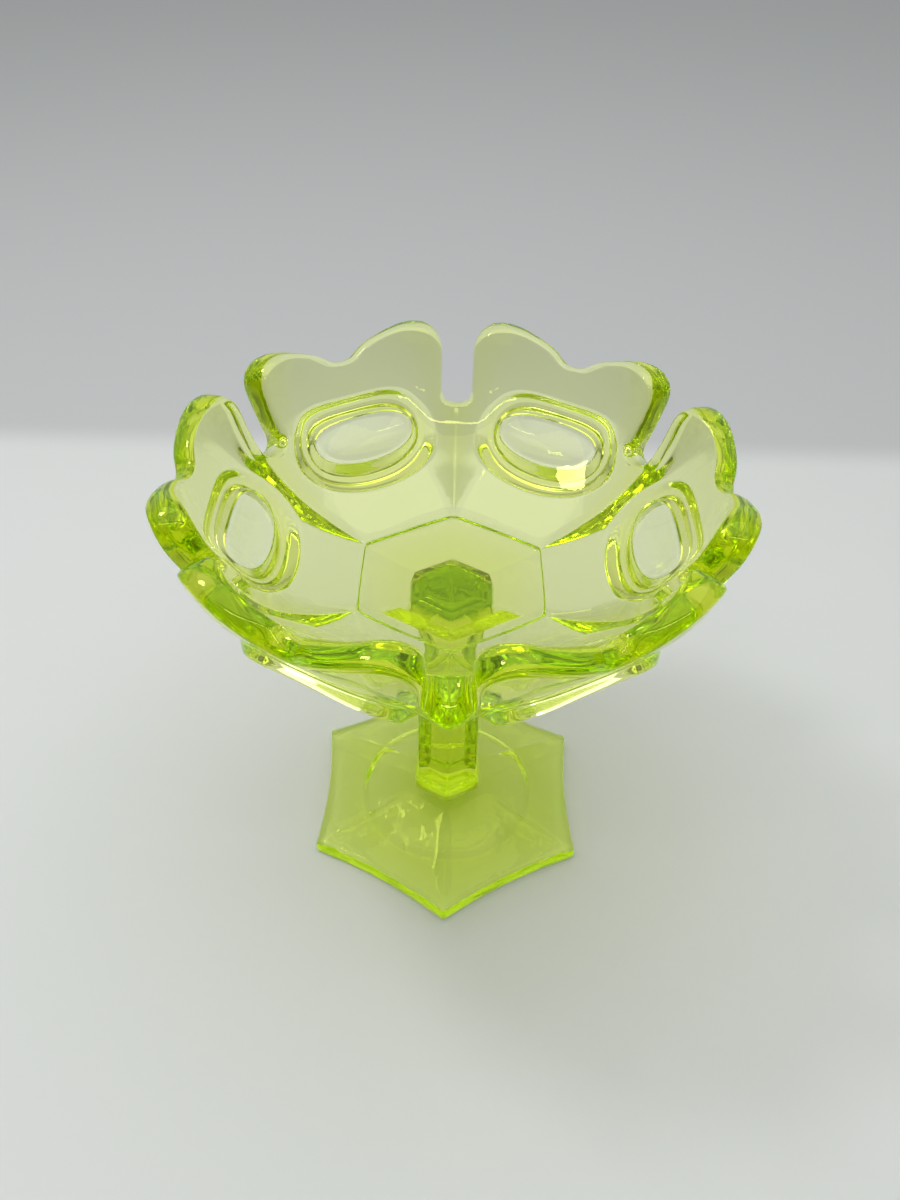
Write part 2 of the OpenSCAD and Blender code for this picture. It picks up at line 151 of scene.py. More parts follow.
MID_CURVE = [(FLOOR_IN, 0), (FLOOR_IN + 0.62 * PANEL_REACH, 0.17 * PANEL_RISE),
             (FLOOR_IN + PANEL_REACH, PANEL_RISE)]
CORNER_CURVE = [(FLOOR_IN, 0), (FLOOR_IN + 0.36 * CORNER_REACH, 0.06 * CORNER_RISE),
                (FLOOR_IN + 0.90 * CORNER_REACH, 0.41 * CORNER_RISE),
                (FLOOR_IN + CORNER_REACH, CORNER_RISE)]
INNER_ROUND_T = level_at(CORNER_CURVE, INNER_ROUND_H)
OUTER_ROUND_T = level_at(CORNER_CURVE, OUTER_ROUND_H)
NOTCH_T = level_at(CORNER_CURVE, NOTCH_H)
NOTCH_TOP_T = level_at(CORNER_CURVE, NOTCH_H + NOTCH_ROUND_H)
SIDE_TOP_T = 0.92
LOBE_T = level_at(MID_CURVE, PANEL_RISE + LOBE_RISE)
LENS_T = level_at(MID_CURVE, LENS_MID_H)
LENS_STEP = float(np.linalg.norm(bezier(MID_CURVE, LENS_T)[1]))   # metres of wall for one t
print(f"notch at t {NOTCH_T:.2f}, lobes at {LOBE_T:.2f}, lens at {LENS_T:.2f}")

# %% [markdown]
# ## The wall of a panel
# A place on the wall is given by q, which runs across the panel from -1 to 1, and t, which
# runs up it from 0 at the floor to about 1 at the rim. Near the floor the wall is a
# hexagon with straight sides, and higher up it turns round, the inside sooner than the
# outside. The arris, the ridge where two panels meet, is softened the way a fire-polished
# edge is.
#
# The corners are thick. Inside, each is filled by a flat that widens from the floor to the
# notch. Outside, each carries a rib, and its extra glass gives the deep green wedges.

# %% The wall
ARRIS_SOFT = 0.9 * MM
CORNER_FILL, FILL_SOFT = 2.0 * MM, 0.5 * MM
FILL_LIMIT = 1.1                     # the fill grows up to this many times NOTCH_T
RIB_OUT, RIB_HALF = 3.8 * MM, 9.0 * MM
RIB_LEAST, RIB_FULL = 0.02, 0.55     # its size at the floor, and the share of NOTCH_T
RIB_FADE = 0.3                       # that it grows over, then the share that it fades over


def half_side(t):
    """Half the width of a panel at t."""
    return bezier(CORNER_CURVE, t)[0][..., 0] * SIDE_SHARE


def roundness(t, depth):
    """0 where the wall is a straight-sided hexagon, 1 where it is round."""
    s = np.clip(t / (INNER_ROUND_T + (OUTER_ROUND_T - INNER_ROUND_T) * depth / WALL), 0, 1)
    return s * s * (3 - 2 * s)


def wall_point(q, t, depth=0.0, proud=0.0):
    """The point at q and t, this deep behind the inner face, standing proud by that much."""
    q, t = np.broadcast_arrays(np.asarray(q, float), np.asarray(t, float))
    middle, climb = bezier(MID_CURVE, t)
    corner, corner_climb = bezier(CORNER_CURVE, t)
    middle = middle + depth * outside_of(climb)
    corner = corner + depth * outside_of(corner_climb)
    y = q * corner[..., 0] * SIDE_SHARE
    to_circle = np.sqrt((corner[..., 0] / FLAT_SHARE) ** 2 - y * y) - corner[..., 0]
    corner = corner + np.stack([roundness(t, depth) * to_circle, 0 * t], -1)
    share = (1 - (1 - np.minimum(1, q * q)) ** 3)[..., None]
    place = (1 - share) * middle + share * corner
    place = place + np.asarray(proud)[..., None] * outside_of(climb)
    x, z = place[..., 0], place[..., 1]
    from_arris = (1 - abs(q)) * half_side(t)
    soften = np.sqrt(from_arris ** 2 + ARRIS_SOFT ** 2) - from_arris
    soften = 0.5 * (1 - roundness(t, depth)) * soften
    shrink = 1 - soften / np.hypot(x, y)
    x, y = x * shrink, y * shrink
    fill = CORNER_FILL * np.maximum(0, 1 - depth / WALL) * np.minimum(FILL_LIMIT, t / NOTCH_T)
    to_corner = x * FLAT_SHARE + abs(y) / 2
    over = to_corner - bezier(CORNER_CURVE, t)[0][..., 0] / FLAT_SHARE + fill
    pull = 0.5 * (over + np.sqrt(over ** 2 + FILL_SOFT ** 2)) * np.minimum(1, fill / FILL_SOFT)
    size = np.clip(t / (RIB_FULL * NOTCH_T), RIB_LEAST, 1)
    fade = np.clip(((1 + RIB_FADE) * NOTCH_T - t) / (RIB_FADE * NOTCH_T), 0, 1)
    rib = depth / WALL * RIB_OUT * size * fade * np.maximum(0, 1 - from_arris / (RIB_HALF * size))
    out = outside_of(corner_climb)
    along = rib * out[..., 0] - pull
    return np.stack([x + along * FLAT_SHARE, y + along / 2 * np.sign(y),
                     FLOOR_Z + z + rib * out[..., 1]], -1)


# %% [markdown]
# ## The outline of a panel
# Each panel ends in two lobes with a saddle between them, and its corners drop into the
# notches. One half of the rim is four short curves in q and t, and the other half is its
# mirror. The outline then runs down one arris, along the edge of the floor and up again.

# %% The outline
ARRIS_STEPS, NOTCH_STEPS, SIDE_STEPS, SHOULDER_STEPS, SADDLE_STEPS, FLOOR_STEPS = 14, 9, 6, 12, 14, 22


def notch_q(t):
    """The q of the side of the notch at t."""
    return float(1 - NOTCH_HALF / FLAT_SHARE / half_side(t))


def steps(count, last=False):
    return np.linspace(0, 1, count + 1)[:count + 1 if last else count]


side_end = np.array([notch_q(SIDE_TOP_T), SIDE_TOP_T])
lobe_top = np.array([LOBE_OFFSET / half_side(LOBE_T), LOBE_T])
notch_curve = [(1, NOTCH_T), (notch_q(NOTCH_TOP_T), NOTCH_T), (notch_q(NOTCH_TOP_T), NOTCH_TOP_T)]
side_t = NOTCH_TOP_T + steps(SIDE_STEPS) * (SIDE_TOP_T - NOTCH_TOP_T)
shoulder_curve = [side_end, side_end + (0, 0.86 * (LOBE_T - SIDE_TOP_T)),
                  lobe_top + (0.56 * (side_end[0] - lobe_top[0]), 0), lobe_top]
saddle_curve = [lobe_top, (0.42 * lobe_top[0], LOBE_T), (0.57 * lobe_top[0], 1), (0, 1)]
half_rim = np.vstack([
    bezier(notch_curve, steps(NOTCH_STEPS))[0],
    [(notch_q(t), t) for t in side_t],
    bezier(shoulder_curve, steps(SHOULDER_STEPS))[0],
    bezier(saddle_curve, steps(SADDLE_STEPS, last=True))[0]])
rim_outline = np.vstack([half_rim, half_rim[-2::-1] * (-1, 1)])
arris = np.stack([np.ones(ARRIS_STEPS), NOTCH_T * steps(ARRIS_STEPS)], -1)
floor_edge = np.stack([-1 + 2 * steps(FLOOR_STEPS, last=True), np.zeros(FLOOR_STEPS + 1)], -1)
outline = np.vstack([arris, rim_outline, arris[::-1] * (-1, 1), floor_edge[1:]])
print(f"outline of a panel: {len(outline) - 1} steps, {len(rim_outline) - 1} of them on the rim")

# %% [markdown]
# ## The skin of one panel
# The oval lens needs clean rings round it, so the skin is a polar net: rings that start at
# the middle of the lens and end on the panel's outline. The last rings lie close to the
# outline, to hold its edges. A small class gathers the patches, and shared edges are
# welded later, when all six panels are there.


# %% Gather patches
class Skin:
    """Points and faces of one sixth of a piece."""

    def __init__(self):
        self.points, self.faces = [], []

    def patch(self, rows, flip=False):
        """Adds a net of quads. Rows are lines of points, all of the same length."""
        rows = np.asarray(rows, float)
        start, width = len(self.points), rows.shape[1]
        self.points.extend(rows.reshape(-1, 3).tolist())
        for r in range(len(rows) - 1):
            for c in range(width - 1):
                a = start + r * width + c
                quad = (a, a + 1, a + width + 1, a + width)
                self.faces.append(quad[::-1] if flip else quad)

    def mesh(self, name):
        made = bpy.data.meshes.new(name)
        made.from_pydata(self.points, [], self.faces)
        return made


def to_flat(qt):
    """A place on the panel as metres across and along the wall from the middle of the lens."""
    return np.stack([qt[..., 0] * half_side(qt[..., 1]), (qt[..., 1] - LENS_T) * LENS_STEP], -1)


def to_panel(flat):
    """The q and t of a place given in metres from the middle of the lens."""
    t = LENS_T + flat[..., 1] / LENS_STEP
    return np.stack([flat[..., 0] / half_side(t), t], -1)


EDGE_INSETS = [1.6 * MM, 0.8 * MM, 0.3 * MM, 0]
flat_outline = to_flat(outline)
outline_way = flat_outline / np.linalg.norm(flat_outline, axis=-1, keepdims=True)
outline_reach = np.linalg.norm(flat_outline, axis=-1)


def ring_at(reach):
    """The loop of q and t at these distances from the middle of the lens."""
    return np.where((reach >= outline_reach - 1e-9)[:, None], outline,
                    to_panel(outline_way * reach[:, None]))


def soft_ramp(x, width, soft):
    """0 before 0, 1 after the width and straight between, with its ends rounded."""
    def area(u):
        u = np.maximum(u, 0)
        return np.where(u < width, u * u / (2 * width), u - width / 2)
    return (area(x + soft) - area(x - soft)) / (2 * soft)


INNER_ROWS, FIELD_ROWS, CAP_ROWS = 30, 10, 8
inner_rows = []
for k in range(INNER_ROWS + 1):
    qt = ring_at(k / INNER_ROWS * (outline_reach - 2 * EDGE_INSETS[0]))
    inner_rows.append(wall_point(qt[:, 0], qt[:, 1]))
for inset in EDGE_INSETS:
    qt = ring_at(outline_reach - inset)
    inner_rows.append(wall_point(qt[:, 0], qt[:, 1]))

# %% [markdown]
# The outside has the relief: a ring that stands out and leans, and inside it a lens that is
# thinner than the wall. Both are one function of how far a place is inside the oval.


# %% The relief of the lens
THIN_PROUD = LENS_THIN - WALL


def ring_top(flat_y):
    """How proud the face of the ring stands at this height on the wall."""
    return RING_OUT - math.tan(RING_LEAN) * flat_y


def oval_at(inset):
    """The distances from the middle of the lens to the oval, drawn in by the inset."""
    return 1 / np.hypot(outline_way[:, 0] / (LENS_W / 2 - inset),
                        outline_way[:, 1] / (LENS_H / 2 - inset))


slope_out = ring_top((oval_at(0)[:, None] * outline_way)[:, 1]) * math.tan(RING_DRAFT)
lens_inset = slope_out + RING_FLAT + RING_SLOPE_IN


def relief(inset, flat_y):
    """How proud the outside stands, this far inside the oval and at this height on the wall."""
    top = ring_top(flat_y)
    rise = soft_ramp(inset, slope_out, RING_SOFT) * top
    fall = soft_ramp(inset - slope_out - RING_FLAT, RING_SLOPE_IN, RING_SOFT) * (top - THIN_PROUD)
    across = np.clip((inset - lens_inset) / (LENS_H / 2 - lens_inset), 0, 1)
    return rise - fall + LENS_CROWN * (1 - (1 - across) ** 2)


def ramp_insets(width):
    """Insets across a slope, close together where it bends."""
    ends = np.array([-1, -0.5, 0, 0.5, 1]) * RING_SOFT
    return [0 * width + e for e in ends] + [0.5 * width] + [width + e for e in ends]


insets = ramp_insets(slope_out) + [slope_out + RING_FLAT + i for i in ramp_insets(RING_SLOPE_IN)]
insets = insets[::-1]
outer_rows = []
for k in range(CAP_ROWS):
    share = k / CAP_ROWS
    inset = share * insets[0] + (1 - share) * LENS_H / 2
    qt = ring_at(share * oval_at(insets[0]))
    outer_rows.append(wall_point(qt[:, 0], qt[:, 1], WALL, relief(inset, to_flat(qt)[:, 1])))
for inset in insets:
    qt = ring_at(oval_at(inset))
    outer_rows.append(wall_point(qt[:, 0], qt[:, 1], WALL, relief(inset, to_flat(qt)[:, 1])))
for k in range(1, FIELD_ROWS + 1):
    oval_reach = oval_at(insets[-1])
    room = outline_reach - oval_reach - 2 * EDGE_INSETS[0]
    qt = ring_at(oval_reach + k / FIELD_ROWS * room)
    outer_rows.append(wall_point(qt[:, 0], qt[:, 1], WALL))
for inset in EDGE_INSETS:
    qt = ring_at(outline_reach - inset)
    outer_rows.append(wall_point(qt[:, 0], qt[:, 1], WALL))
print(f"rings: {len(inner_rows)} inside, {len(outer_rows)} outside")

# %% [markdown]
# The lip joins the two faces with half an oval that stands a little proud of the wall.
# Its outward way is square to both the rim and the wall's thickness.

# %% The lip
LIP_STEPS = 10
first, last = ARRIS_STEPS, ARRIS_STEPS + len(rim_outline) - 1
inner_rim = inner_rows[-1][first:last + 1]
outer_rim = outer_rows[-1][first:last + 1]
rim_middle, rim_half = (inner_rim + outer_rim) / 2, (outer_rim - inner_rim) / 2


def over_arris(point):
    """The mirror image of a point across the arris at q = 1."""
    c, s = math.cos(TURN), math.sin(TURN)
    return np.array([c * point[0] + s * point[1], s * point[0] - c * point[1], point[2]])


flip_y = np.array([1, -1, 1])
rim_way = np.empty_like(rim_middle)
rim_way[1:-1] = rim_middle[2:] - rim_middle[:-2]
rim_way[0] = rim_middle[1] - over_arris(rim_middle[1])
rim_way[-1] = over_arris(rim_middle[-2] * flip_y) * flip_y - rim_middle[-2]
lip_out = np.cross(rim_way, rim_half)
lip_out /= np.linalg.norm(lip_out, axis=-1, keepdims=True)
lip_rows = [rim_middle - math.cos(a) * rim_half + LIP * math.sin(a) * lip_out
            for a in np.linspace(0, math.pi, LIP_STEPS + 1)]

# %% [markdown]
# The floor and the underside close the panel's sixth of the bowl. The plinth's short drop
# draws the dark line round the floor. From its edge six flat facets slope to the seat, the
# small hexagon that the stem's collar is joined to. They slope enough to hide the stem's
# shaft from above, because light can't leave through them towards the front.

# %% The floor and the seat
FLOOR_ROWS, UNDER_ROWS, SEAT_ROWS = 6, 6, 2
start = len(outline) - 1 - FLOOR_STEPS
inner_edge, outer_edge = inner_rows[-1][start:], outer_rows[-1][start:]
seat_in = BOWL_COLLAR_R * FLAT_SHARE
across = (-1 + 2 * steps(FLOOR_STEPS, last=True)) * seat_in * SIDE_SHARE
seat_edge = np.stack([np.full_like(across, seat_in), across, np.full_like(across, SEAT_Z)], -1)
draw_in = 1 - PLINTH_DRAFT / FLOOR_IN
plinth_edge = outer_edge * (draw_in, draw_in, 1) - (0, 0, PLINTH_H)
floor_middle, seat_middle = np.array([0, 0, FLOOR_Z]), np.array([0, 0, SEAT_Z])


def between(a, b, shares):
    return [a + (b - a) * s for s in shares]


floor_shares = [0.012, 0.03, 0.06] + list(np.linspace(0.06, 1, FLOOR_ROWS + 1)[1:])
under_shares = [0.03, 0.07, 0.12] + list(np.linspace(0.12, 1, UNDER_ROWS + 1)[1:])
bowl_skin = Skin()
bowl_skin.patch(inner_rows)
bowl_skin.patch(outer_rows, flip=True)
bowl_skin.patch(lip_rows)
bowl_skin.patch(between(inner_edge, floor_middle, [0] + floor_shares))
bowl_skin.patch(between(outer_edge, plinth_edge, [0, 0.15, 0.5, 0.85, 1]), flip=True)
bowl_skin.patch(between(plinth_edge, seat_edge, [0] + under_shares), flip=True)
bowl_skin.patch(between(seat_edge, seat_middle, steps(SEAT_ROWS, last=True)), flip=True)
print(f"one sixth of the bowl: {len(bowl_skin.faces)} faces")

# %% [markdown]
# ## The stem and the foot
# Both are stacks of levels, each a distance out from the axis and a height. The stem's
# levels are plain hexagons. The foot's sides curve in between its corners, its edge is
# rounded, a low ridge runs down each of its corners, and the press left a round hollow
# under it.


# %% Side of a level
SIDE_COLUMNS = [-1, -0.985, -0.96, -0.92, -0.84, -0.7, -0.5, -0.25, 0,
                0.25, 0.5, 0.7, 0.84, 0.92, 0.96, 0.985, 1]
side_columns = np.array(SIDE_COLUMNS)


def level(apothem, z, soft, sag=0.0):
    """One side of a six-sided level, with its corners softened and its middle drawn in."""
    x = apothem - sag * (1 - side_columns ** 2)
    y = side_columns * apothem * SIDE_SHARE
    from_corner = (1 - abs(side_columns)) * apothem * SIDE_SHARE
    shrink = 1 - 0.5 * (np.sqrt(from_corner ** 2 + soft ** 2) - from_corner) / np.hypot(x, y)
    return np.stack([x * shrink, y * shrink, np.full_like(x, z)], -1)


def to_axis(z):
    return np.stack([0 * side_columns, 0 * side_columns, np.full_like(side_columns, z)], -1)


# %% The stem
STEM_SOFT = 0.8 * MM
low, high = stem_low.z - JOIN_DEPTH, SEAT_Z + JOIN_DEPTH
low_collar, high_collar = stem_low.z + FOOT_COLLAR_H, SEAT_Z - BOWL_COLLAR_H
stem_levels = [(FOOT_COLLAR_R, low), (FOOT_COLLAR_R, low + 1 * MM),
               (FOOT_COLLAR_R, low_collar - 0.5 * MM),
               (FOOT_COLLAR_R, low_collar)]
stem_levels += [(STEM_R, low_collar + COLLAR_SLOPE_H), (STEM_R, low_collar + COLLAR_SLOPE_H + 0.5 * MM)]
shaft_low, shaft_high = stem_levels[-1][1], high_collar - COLLAR_SLOPE_H - 0.5 * MM
stem_levels += [(STEM_R, shaft_low + (shaft_high - shaft_low) * s) for s in steps(24, last=True)[1:]]
stem_levels += [(STEM_R, high_collar - COLLAR_SLOPE_H), (BOWL_COLLAR_R, high_collar),
                (BOWL_COLLAR_R, high_collar + 0.5 * MM), (BOWL_COLLAR_R, high)]
stem_rows = [level(r * FLAT_SHARE, z, STEM_SOFT) for r, z in stem_levels]
stem_skin = Skin()
stem_skin.patch(stem_rows)
stem_skin.patch(between(stem_rows[0], to_axis(low), [0, 0.5, 1]), flip=True)
stem_skin.patch(between(stem_rows[-1], to_axis(high), [0, 0.5, 1]))
print(f"one sixth of the stem: {len(stem_skin.faces)} faces")

# %% The foot
FOOT_SOFT, SEAT_SOFT = 1.2 * MM, 0.5 * MM
FOOT_IN, FOOT_SEAT_IN = FOOT_R * FLAT_SHARE, FOOT_SEAT_R * FLAT_SHARE
EDGE_ROUND = 0.9 * MM
FOOT_DISH = 1.25                     # the slope steepens towards the stem
SLOPE_SHARES = [0.03, 0.08, 0.2, 0.35, 0.5, 0.65, 0.8, 0.92, 0.97, 1]
RIDGE_UP, RIDGE_HALF = 0.7 * MM, 1.6 * MM
RIDGE_ENDS = 8                       # how quickly a ridge rises from its two ends
ridge = RIDGE_UP * np.exp(-((1 - abs(side_columns)) * FOOT_IN * SIDE_SHARE / RIDGE_HALF) ** 2)
foot_rows = []
for a in np.linspace(0, math.pi / 2, 5):
    foot_rows.append(level(FOOT_IN - EDGE_ROUND * (1 - math.sin(a)), EDGE_ROUND * (1 - math.cos(a)),
                           FOOT_SOFT, FOOT_SAG))
foot_rows.append(level(FOOT_IN, 0.5 * (EDGE_ROUND + FOOT_EDGE_H), FOOT_SOFT, FOOT_SAG))
edge_curve = [(0, FOOT_EDGE_H), (0, FOOT_EDGE_H + 0.8 * (FOOT_SLOPE_Z - FOOT_EDGE_H)),
              (FOOT_EDGE_RUN * 0.5, FOOT_SLOPE_Z - 0.4 * MM), (FOOT_EDGE_RUN, FOOT_SLOPE_Z)]
for inward, z in bezier(edge_curve, steps(8, last=True))[0]:
    foot_rows.append(level(FOOT_IN - inward, z, FOOT_SOFT, FOOT_SAG))
slope_start = FOOT_IN - FOOT_EDGE_RUN
for s in SLOPE_SHARES:
    side = level(slope_start + s * (FOOT_SEAT_IN - slope_start),
                 FOOT_SLOPE_Z + s ** FOOT_DISH * (foot_high.z - FOOT_SLOPE_Z),
                 FOOT_SOFT + s * (SEAT_SOFT - FOOT_SOFT), FOOT_SAG * (1 - s))
    side[:, 2] += ridge * min(1, RIDGE_ENDS * s * (1 - s))
    foot_rows.append(side)
under_start = foot_rows[0]
angle = np.arctan2(under_start[:, 1], under_start[:, 0])


def round_loop(r, z):
    return np.stack([r * np.cos(angle), r * np.sin(angle), np.full_like(angle, z)], -1)


hollow_rim = [(HOLLOW_R + 0.8 * MM, 0), (HOLLOW_R, 0.12 * MM),
              (HOLLOW_R - 0.6 * MM, 0.12 * HOLLOW_DEPTH),
              (HOLLOW_R - 1.5 * MM, 0.3 * HOLLOW_DEPTH), (HOLLOW_R - 2.6 * MM, 0.4 * HOLLOW_DEPTH)]
hollow_roof = [(HOLLOW_R * s, HOLLOW_DEPTH * (1 - 0.55 * s ** 2))
               for s in (0.8, 0.65, 0.5, 0.35, 0.2, 0.1, 0)]
under_rows = [under_start, between(under_start, round_loop(*hollow_rim[0]), [0.5])[0]]
under_rows += [round_loop(r, z) for r, z in hollow_rim + hollow_roof]
foot_skin = Skin()
foot_skin.patch(foot_rows)
foot_skin.patch(under_rows, flip=True)
foot_skin.patch(between(foot_rows[-1], to_axis(foot_high.z), [0, 0.06, 0.5, 1]))
print(f"one sixth of the foot: {len(foot_skin.faces)} faces")

# %% [markdown]
# ## Uranium glass
# The colour of glass is in its depth, so it is a volume: what light loses for each metre
# of glass. Blue goes first, then a little red, which leaves yellow-green. Uranium glass
# also glows faintly green in daylight; here that glow is painted light, a fixed green
# emission on every skin that does not depend on the light falling on it. The press leaves
# the skin slightly wavy, which breaks reflections and gives the glass its sparkle. The waves
# are noise, fed to a Bump node, with a finer noise on top for the chill marks of the mould.
# Cords, faint bands of uneven melt, shift the tint a little.


# %% A maker for shader nodes
class Value:
    """A socket that adds, subtracts, multiplies and divides as a number does."""

    def __init__(self, shader, socket):
        self.shader, self.socket = shader, socket

    def _maths(self, operation, a, b):
        return self.shader.node("ShaderNodeMath", {"operation": operation}, {0: a, 1: b})

    def __add__(self, other): return self._maths("ADD", self, other)
    def __radd__(self, other): return self._maths("ADD", other, self)
    def __sub__(self, other): return self._maths("SUBTRACT", self, other)
    def __rsub__(self, other): return self._maths("SUBTRACT", other, self)
    def __mul__(self, other): return self._maths("MULTIPLY", self, other)
    def __rmul__(self, other): return self._maths("MULTIPLY", other, self)


class Shader:
    """A material whose nodes are made one call at a time."""

    def __init__(self, name):
        self.material = bpy.data.materials.new(name)
        self.material.use_nodes = True
        self.tree = self.material.node_tree
        self.tree.nodes.clear()

    def node(self, kind, settings=None, inputs=None, output=0):
        made = self.tree.nodes.new(kind)
        for key, value in (settings or {}).items():
            if key == "stops":
                for _ in value[2:]:
                    made.color_ramp.elements.new(0.5)
                for element, (place, colour) in zip(made.color_ramp.elements, value):
                    element.position, element.color = place, colour
            else:
                setattr(made, key, value)
        for key, value in (inputs or {}).items():
            if isinstance(value, Value):
                self.tree.links.new(value.socket, made.inputs[key])
            else:
                made.inputs[key].default_value = value
        return Value(self, made.outputs[output]) if made.outputs else None


# %% The glass
GLASS_IOR = 1.5
ABSORB_COLOUR, ABSORB_DENSITY = (0.905, 0.955, 0.02, 1), 68
PALE_CORD, DEEP_CORD = (0.965, 0.975, 0.95, 1), (0.94, 0.965, 0.90, 1)
# Painted glow: the colour of a fixed emission that stands in for the fluorescence of uranium glass.
PAINTED_GLOW_COLOUR = (0.52, 0.75, 0.01, 1)
SHINE = (0.98, 1.0, 0.30, 1)
CORD_SCALE, WAVE_SCALE, CHILL_SCALE = 38.0, 90.0, 420.0
CHILL_SHARE = 0.12
SMOOTHEST, ROUGHER = 0.006, 0.02


def glass(name, painted_glow, ripple):
    """Clear uranium glass, with a painted glow: a fixed emission standing in for its daylight
    fluorescence. Ripple is the height of its waves.
    """
    s = Shader(name)
    here = s.node("ShaderNodeTexCoord", output="Object")
    cords = s.node("ShaderNodeTexNoise", inputs={"Vector": here, "Scale": CORD_SCALE, "Detail": 1.0})
    waves = s.node("ShaderNodeTexNoise", inputs={"Vector": here, "Scale": WAVE_SCALE, "Detail": 1.0})
    chill = s.node("ShaderNodeTexNoise", inputs={"Vector": here, "Scale": CHILL_SCALE, "Detail": 2.0})
    tint = s.node("ShaderNodeMix", {"data_type": "RGBA"}, {0: cords, 6: PALE_CORD, 7: DEEP_CORD}, 2)
    height = waves + CHILL_SHARE * chill
    bump = s.node("ShaderNodeBump", inputs={"Strength": 1.0, "Distance": ripple, "Height": height})
    surface = s.node("ShaderNodeBsdfPrincipled", inputs={
        "Base Color": tint, "Roughness": SMOOTHEST + ROUGHER * chill, "IOR": GLASS_IOR,
        "Transmission Weight": 1.0, "Specular Tint": SHINE,
        "Emission Color": PAINTED_GLOW_COLOUR, "Emission Strength": painted_glow, "Normal": bump})
    depth = s.node("ShaderNodeVolumeAbsorption",
                   inputs={"Color": ABSORB_COLOUR, "Density": ABSORB_DENSITY})
    s.node("ShaderNodeOutputMaterial", inputs={"Surface": surface, "Volume": depth})
    return s.material


# The second number is the strength of the painted glow, a fixed emission, strongest on the foot.
bowl_glass = glass("bowl_glass", 0.02, 0.12 * MM)
stem_glass = glass("stem_glass", 0.01, 0.16 * MM)
foot_glass = glass("foot_glass", 0.07, 0.40 * MM)
print("glass: absorbs", [round((1 - c) * ABSORB_DENSITY, 1) for c in ABSORB_COLOUR[:3]], "per metre")

# %% [markdown]
# ## Six round the axis
# One small Geometry Nodes tree turns a sixth into the whole: points on the axis, each
# turned one step further than the last, with the sixth on each. It ends by making the
# copies real and giving them their glass. The result becomes a plain mesh.


# %% The tree
def round_the_axis():
    """A tree that repeats its geometry round the Z axis."""
    tree = bpy.data.node_groups.new("round_the_axis", "GeometryNodeTree")
    face = tree.interface
    face.new_socket("Geometry", in_out="INPUT", socket_type="NodeSocketGeometry")
    face.new_socket("Copies", in_out="INPUT", socket_type="NodeSocketInt")
    face.new_socket("Glass", in_out="INPUT", socket_type="NodeSocketMaterial")
    face.new_socket("Geometry", in_out="OUTPUT", socket_type="NodeSocketGeometry")
    new, link = tree.nodes.new, tree.links.new
    given, result = new("NodeGroupInput"), new("NodeGroupOutput")
    points, index = new("GeometryNodePoints"), new("GeometryNodeInputIndex")
    step, turn = new("ShaderNodeMath"), new("ShaderNodeMath")
    step.operation, turn.operation = "DIVIDE", "MULTIPLY"
    step.inputs[0].default_value = 2 * math.pi
    spin, place = new("ShaderNodeCombineXYZ"), new("GeometryNodeInstanceOnPoints")
    real, paint = new("GeometryNodeRealizeInstances"), new("GeometryNodeSetMaterial")
    link(given.outputs["Copies"], points.inputs["Count"])
    link(given.outputs["Copies"], step.inputs[1])
    link(step.outputs[0], turn.inputs[0])
    link(index.outputs[0], turn.inputs[1])
    link(turn.outputs[0], spin.inputs["Z"])
    link(points.outputs[0], place.inputs["Points"])
    link(given.outputs["Geometry"], place.inputs["Instance"])
    link(spin.outputs[0], place.inputs["Rotation"])
    link(place.outputs[0], real.inputs[0])
    link(real.outputs[0], paint.inputs["Geometry"])
    link(given.outputs["Glass"], paint.inputs["Material"])
    link(paint.outputs[0], result.inputs[0])
    return tree


around = round_the_axis()
socket_ids = {item.name: item.identifier for item in around.interface.items_tree
              if item.in_out == "INPUT"}


# %% Weld and fire-polish
WELD = 0.01 * MM
EDGE_ANGLE = math.radians(14)


def polish(shape, rounds):
    """Softens each crisp edge: its points move towards the mean of their neighbours."""
    edge_points = {v for e in shape.edges
                   if len(e.link_faces) == 2 and e.calc_face_angle() > EDGE_ANGLE
                   for v in e.verts}
    for _ in range(rounds):
        bmesh.ops.smooth_vert(shape, verts=list(edge_points), factor=0.5,
                              use_axis_x=True, use_axis_y=True, use_axis_z=True)


def whole_piece(name, skin, material, rounds):
    """The finished mesh object of a piece, from its sixth."""
    sixth = bpy.data.objects.new(name + "_sixth", skin.mesh(name + "_sixth"))
    bpy.context.scene.collection.objects.link(sixth)
    modifier = sixth.modifiers.new("round_the_axis", "NODES")
    modifier.node_group = around
    modifier[socket_ids["Copies"]] = SIDES
    modifier[socket_ids["Glass"]] = material
    graph = bpy.context.evaluated_depsgraph_get()
    made = bpy.data.meshes.new_from_object(sixth.evaluated_get(graph), depsgraph=graph)
    bpy.data.objects.remove(sixth)
    shape = bmesh.new()
    shape.from_mesh(made)
    bmesh.ops.remove_doubles(shape, verts=shape.verts, dist=WELD)
    bmesh.ops.dissolve_degenerate(shape, edges=shape.edges, dist=WELD / 10)
    polish(shape, rounds)
    open_edges = sum(len(e.link_faces) != 2 for e in shape.edges)
    volume = shape.calc_volume(signed=True)
    for f in shape.faces:
        f.smooth = True
    shape.to_mesh(made)
    shape.free()
    made.name = name
    piece = bpy.data.objects.new(name, made)
    bpy.context.scene.collection.objects.link(piece)
    triangles = sum(len(p.vertices) - 2 for p in made.polygons)
    print(f"{name}: {triangles} triangles, {open_edges} open edges, {volume * 1e6:.1f} ml of glass")
    return piece


bowl = whole_piece("glass_bowl", bowl_skin, bowl_glass, 2)
stem = whole_piece("glass_stem", stem_skin, stem_glass, 1)
foot = whole_piece("glass_foot", foot_skin, foot_glass, 2)
for piece, node in ((bowl, "bowl"), (stem, "stem"), (foot, "foot")):
    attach(piece, "root")
    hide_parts(node)
